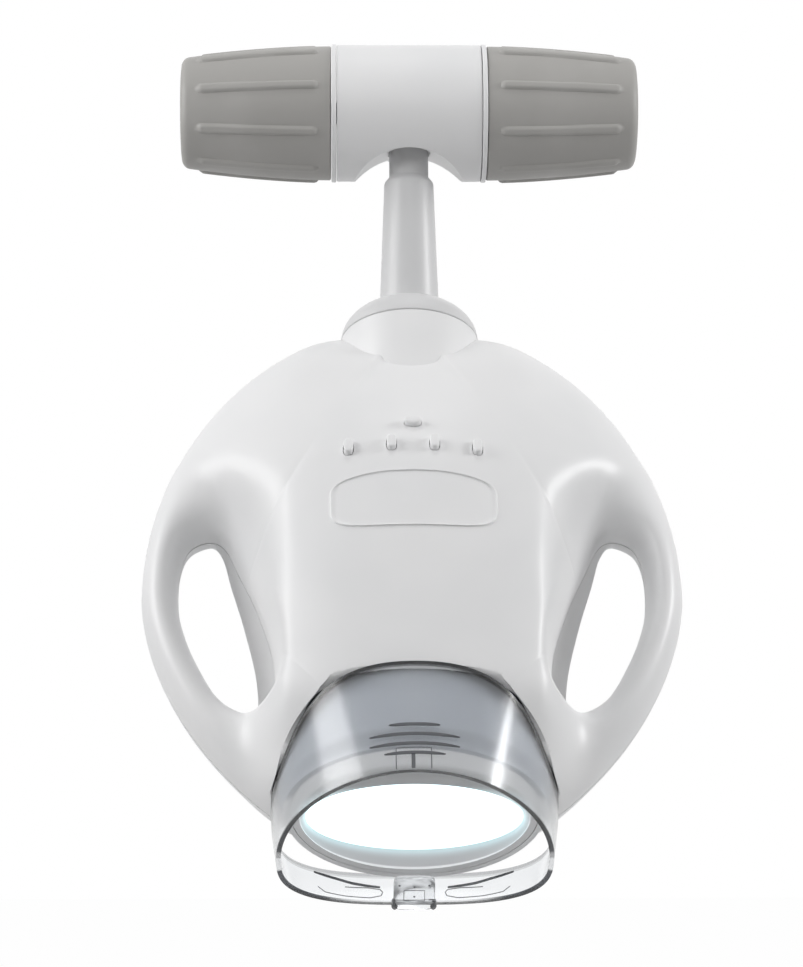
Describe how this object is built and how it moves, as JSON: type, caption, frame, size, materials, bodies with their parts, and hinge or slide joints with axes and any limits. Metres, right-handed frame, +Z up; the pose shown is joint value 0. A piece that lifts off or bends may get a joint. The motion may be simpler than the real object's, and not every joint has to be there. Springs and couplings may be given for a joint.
{
  "type": "dental curing light",
  "caption": "Wide lamp head with two moulded side grips, clear light guide, control panel, swivel neck and ribbed clamp knobs on a crossbar hub",
  "frame": {"origin": "middle of the flat back face of the hub's boss, where the room arm bolts on", "axes": "+Z up, +X to the right in the picture along the crossbar, +Y out of the boss's back face towards the arm; the lamp's front faces -Y"},
  "size_m": [0.2364, 0.2418, 0.3851],
  "materials": {
    "white_plastic": "smooth moulded white plastic, satin",
    "grey_grip": "matt warm grey grip plastic",
    "silver_plastic": "satin silver-grey plastic",
    "clear_plastic": "clear blue-grey tinted plastic",
    "frosted_lens": "frosted white diffuser",
    "steel": "turned steel",
    "brass": "turned brass",
    "aluminium": "plain aluminium",
    "circuit_board": "green solder mask",
    "black_plastic": "black moulded plastic",
    "friction_disc": "brown friction material"
  },
  "bodies": {
    "hub": {"hub_tube": "white_plastic", "left_end_ring": "white_plastic", "right_end_ring": "white_plastic", "left_friction_disc": "friction_disc", "right_friction_disc": "friction_disc", "left_pressure_sleeve": "steel", "right_pressure_sleeve": "steel", "clamp_rod": "steel"},
    "left_knob": {"left_knob": "grey_grip", "left_knob_insert": "brass"},
    "right_knob": {"right_knob": "grey_grip", "right_knob_insert": "brass"},
    "stem": {"stem": "white_plastic", "dome_cap": "white_plastic", "swivel_spindle": "steel", "swivel_washer": "steel", "swivel_nut": "steel"},
    "head": {"swivel_neck": "white_plastic", "front_shell": "white_plastic", "rear_shell": "white_plastic", "name_plate": "white_plastic", "control_board": "circuit_board", "power_button_switch": "black_plastic", "mode_button_1_switch": "black_plastic", "mode_button_2_switch": "black_plastic", "mode_button_3_switch": "black_plastic", "mode_button_4_switch": "black_plastic", "nose_barrel": "silver_plastic", "bezel": "silver_plastic", "lens": "frosted_lens", "reflector": "aluminium", "led_board": "circuit_board", "heat_sink": "aluminium", "fan_frame": "black_plastic"},
    "fan_rotor": {"fan_rotor": "black_plastic"},
    "light_guide": {"light_guide": "clear_plastic"},
    "mode_button_1": {"mode_button_1": "white_plastic"},
    "mode_button_2": {"mode_button_2": "white_plastic"},
    "mode_button_3": {"mode_button_3": "white_plastic"},
    "mode_button_4": {"mode_button_4": "white_plastic"},
    "power_button": {"power_button": "white_plastic"}
  },
  "joints": [
    {"name": "head_tilt", "type": "hinge", "parent": "hub", "child": "stem", "pos_m": [0, -0.045, 0], "axis": [1, 0, 0], "range_deg": [-25, 25]},
    {"name": "head_swivel", "type": "hinge", "parent": "stem", "child": "head", "pos_m": [0, -0.06781, -0.1073], "axis": [0, -0.4695, -0.8829], "range_deg": [-90, 90]},
    {"name": "left_knob_turn", "type": "hinge", "parent": "hub", "child": "left_knob", "pos_m": [0, -0.045, 0], "axis": [-1, 0, 0], "range_deg": [0, 180]},
    {"name": "right_knob_turn", "type": "hinge", "parent": "hub", "child": "right_knob", "pos_m": [0, -0.045, 0], "axis": [1, 0, 0], "range_deg": [0, 180]},
    {"name": "guide_lift_off", "type": "slide", "parent": "head", "child": "light_guide", "axis": [0, -0.6691, -0.7431], "range_m": [0, 0.06]},
    {"name": "fan_spin", "type": "hinge", "parent": "head", "child": "fan_rotor", "pos_m": [0, -0.19814, -0.30982], "axis": [0, -0.6691, -0.7431], "continuous": true},
    {"name": "mode_button_1_press", "type": "slide", "parent": "head", "child": "mode_button_1", "axis": [0, 0.766, -0.6428], "range_m": [0, 0.001], "stiffness_N_per_m": 400},
    {"name": "mode_button_2_press", "type": "slide", "parent": "head", "child": "mode_button_2", "axis": [0, 0.766, -0.6428], "range_m": [0, 0.001], "stiffness_N_per_m": 400},
    {"name": "mode_button_3_press", "type": "slide", "parent": "head", "child": "mode_button_3", "axis": [0, 0.766, -0.6428], "range_m": [0, 0.001], "stiffness_N_per_m": 400},
    {"name": "mode_button_4_press", "type": "slide", "parent": "head", "child": "mode_button_4", "axis": [0, 0.766, -0.6428], "range_m": [0, 0.001], "stiffness_N_per_m": 400},
    {"name": "power_press", "type": "slide", "parent": "head", "child": "power_button", "axis": [0, 0.766, -0.6428], "range_m": [0, 0.001], "stiffness_N_per_m": 400}
  ]
}
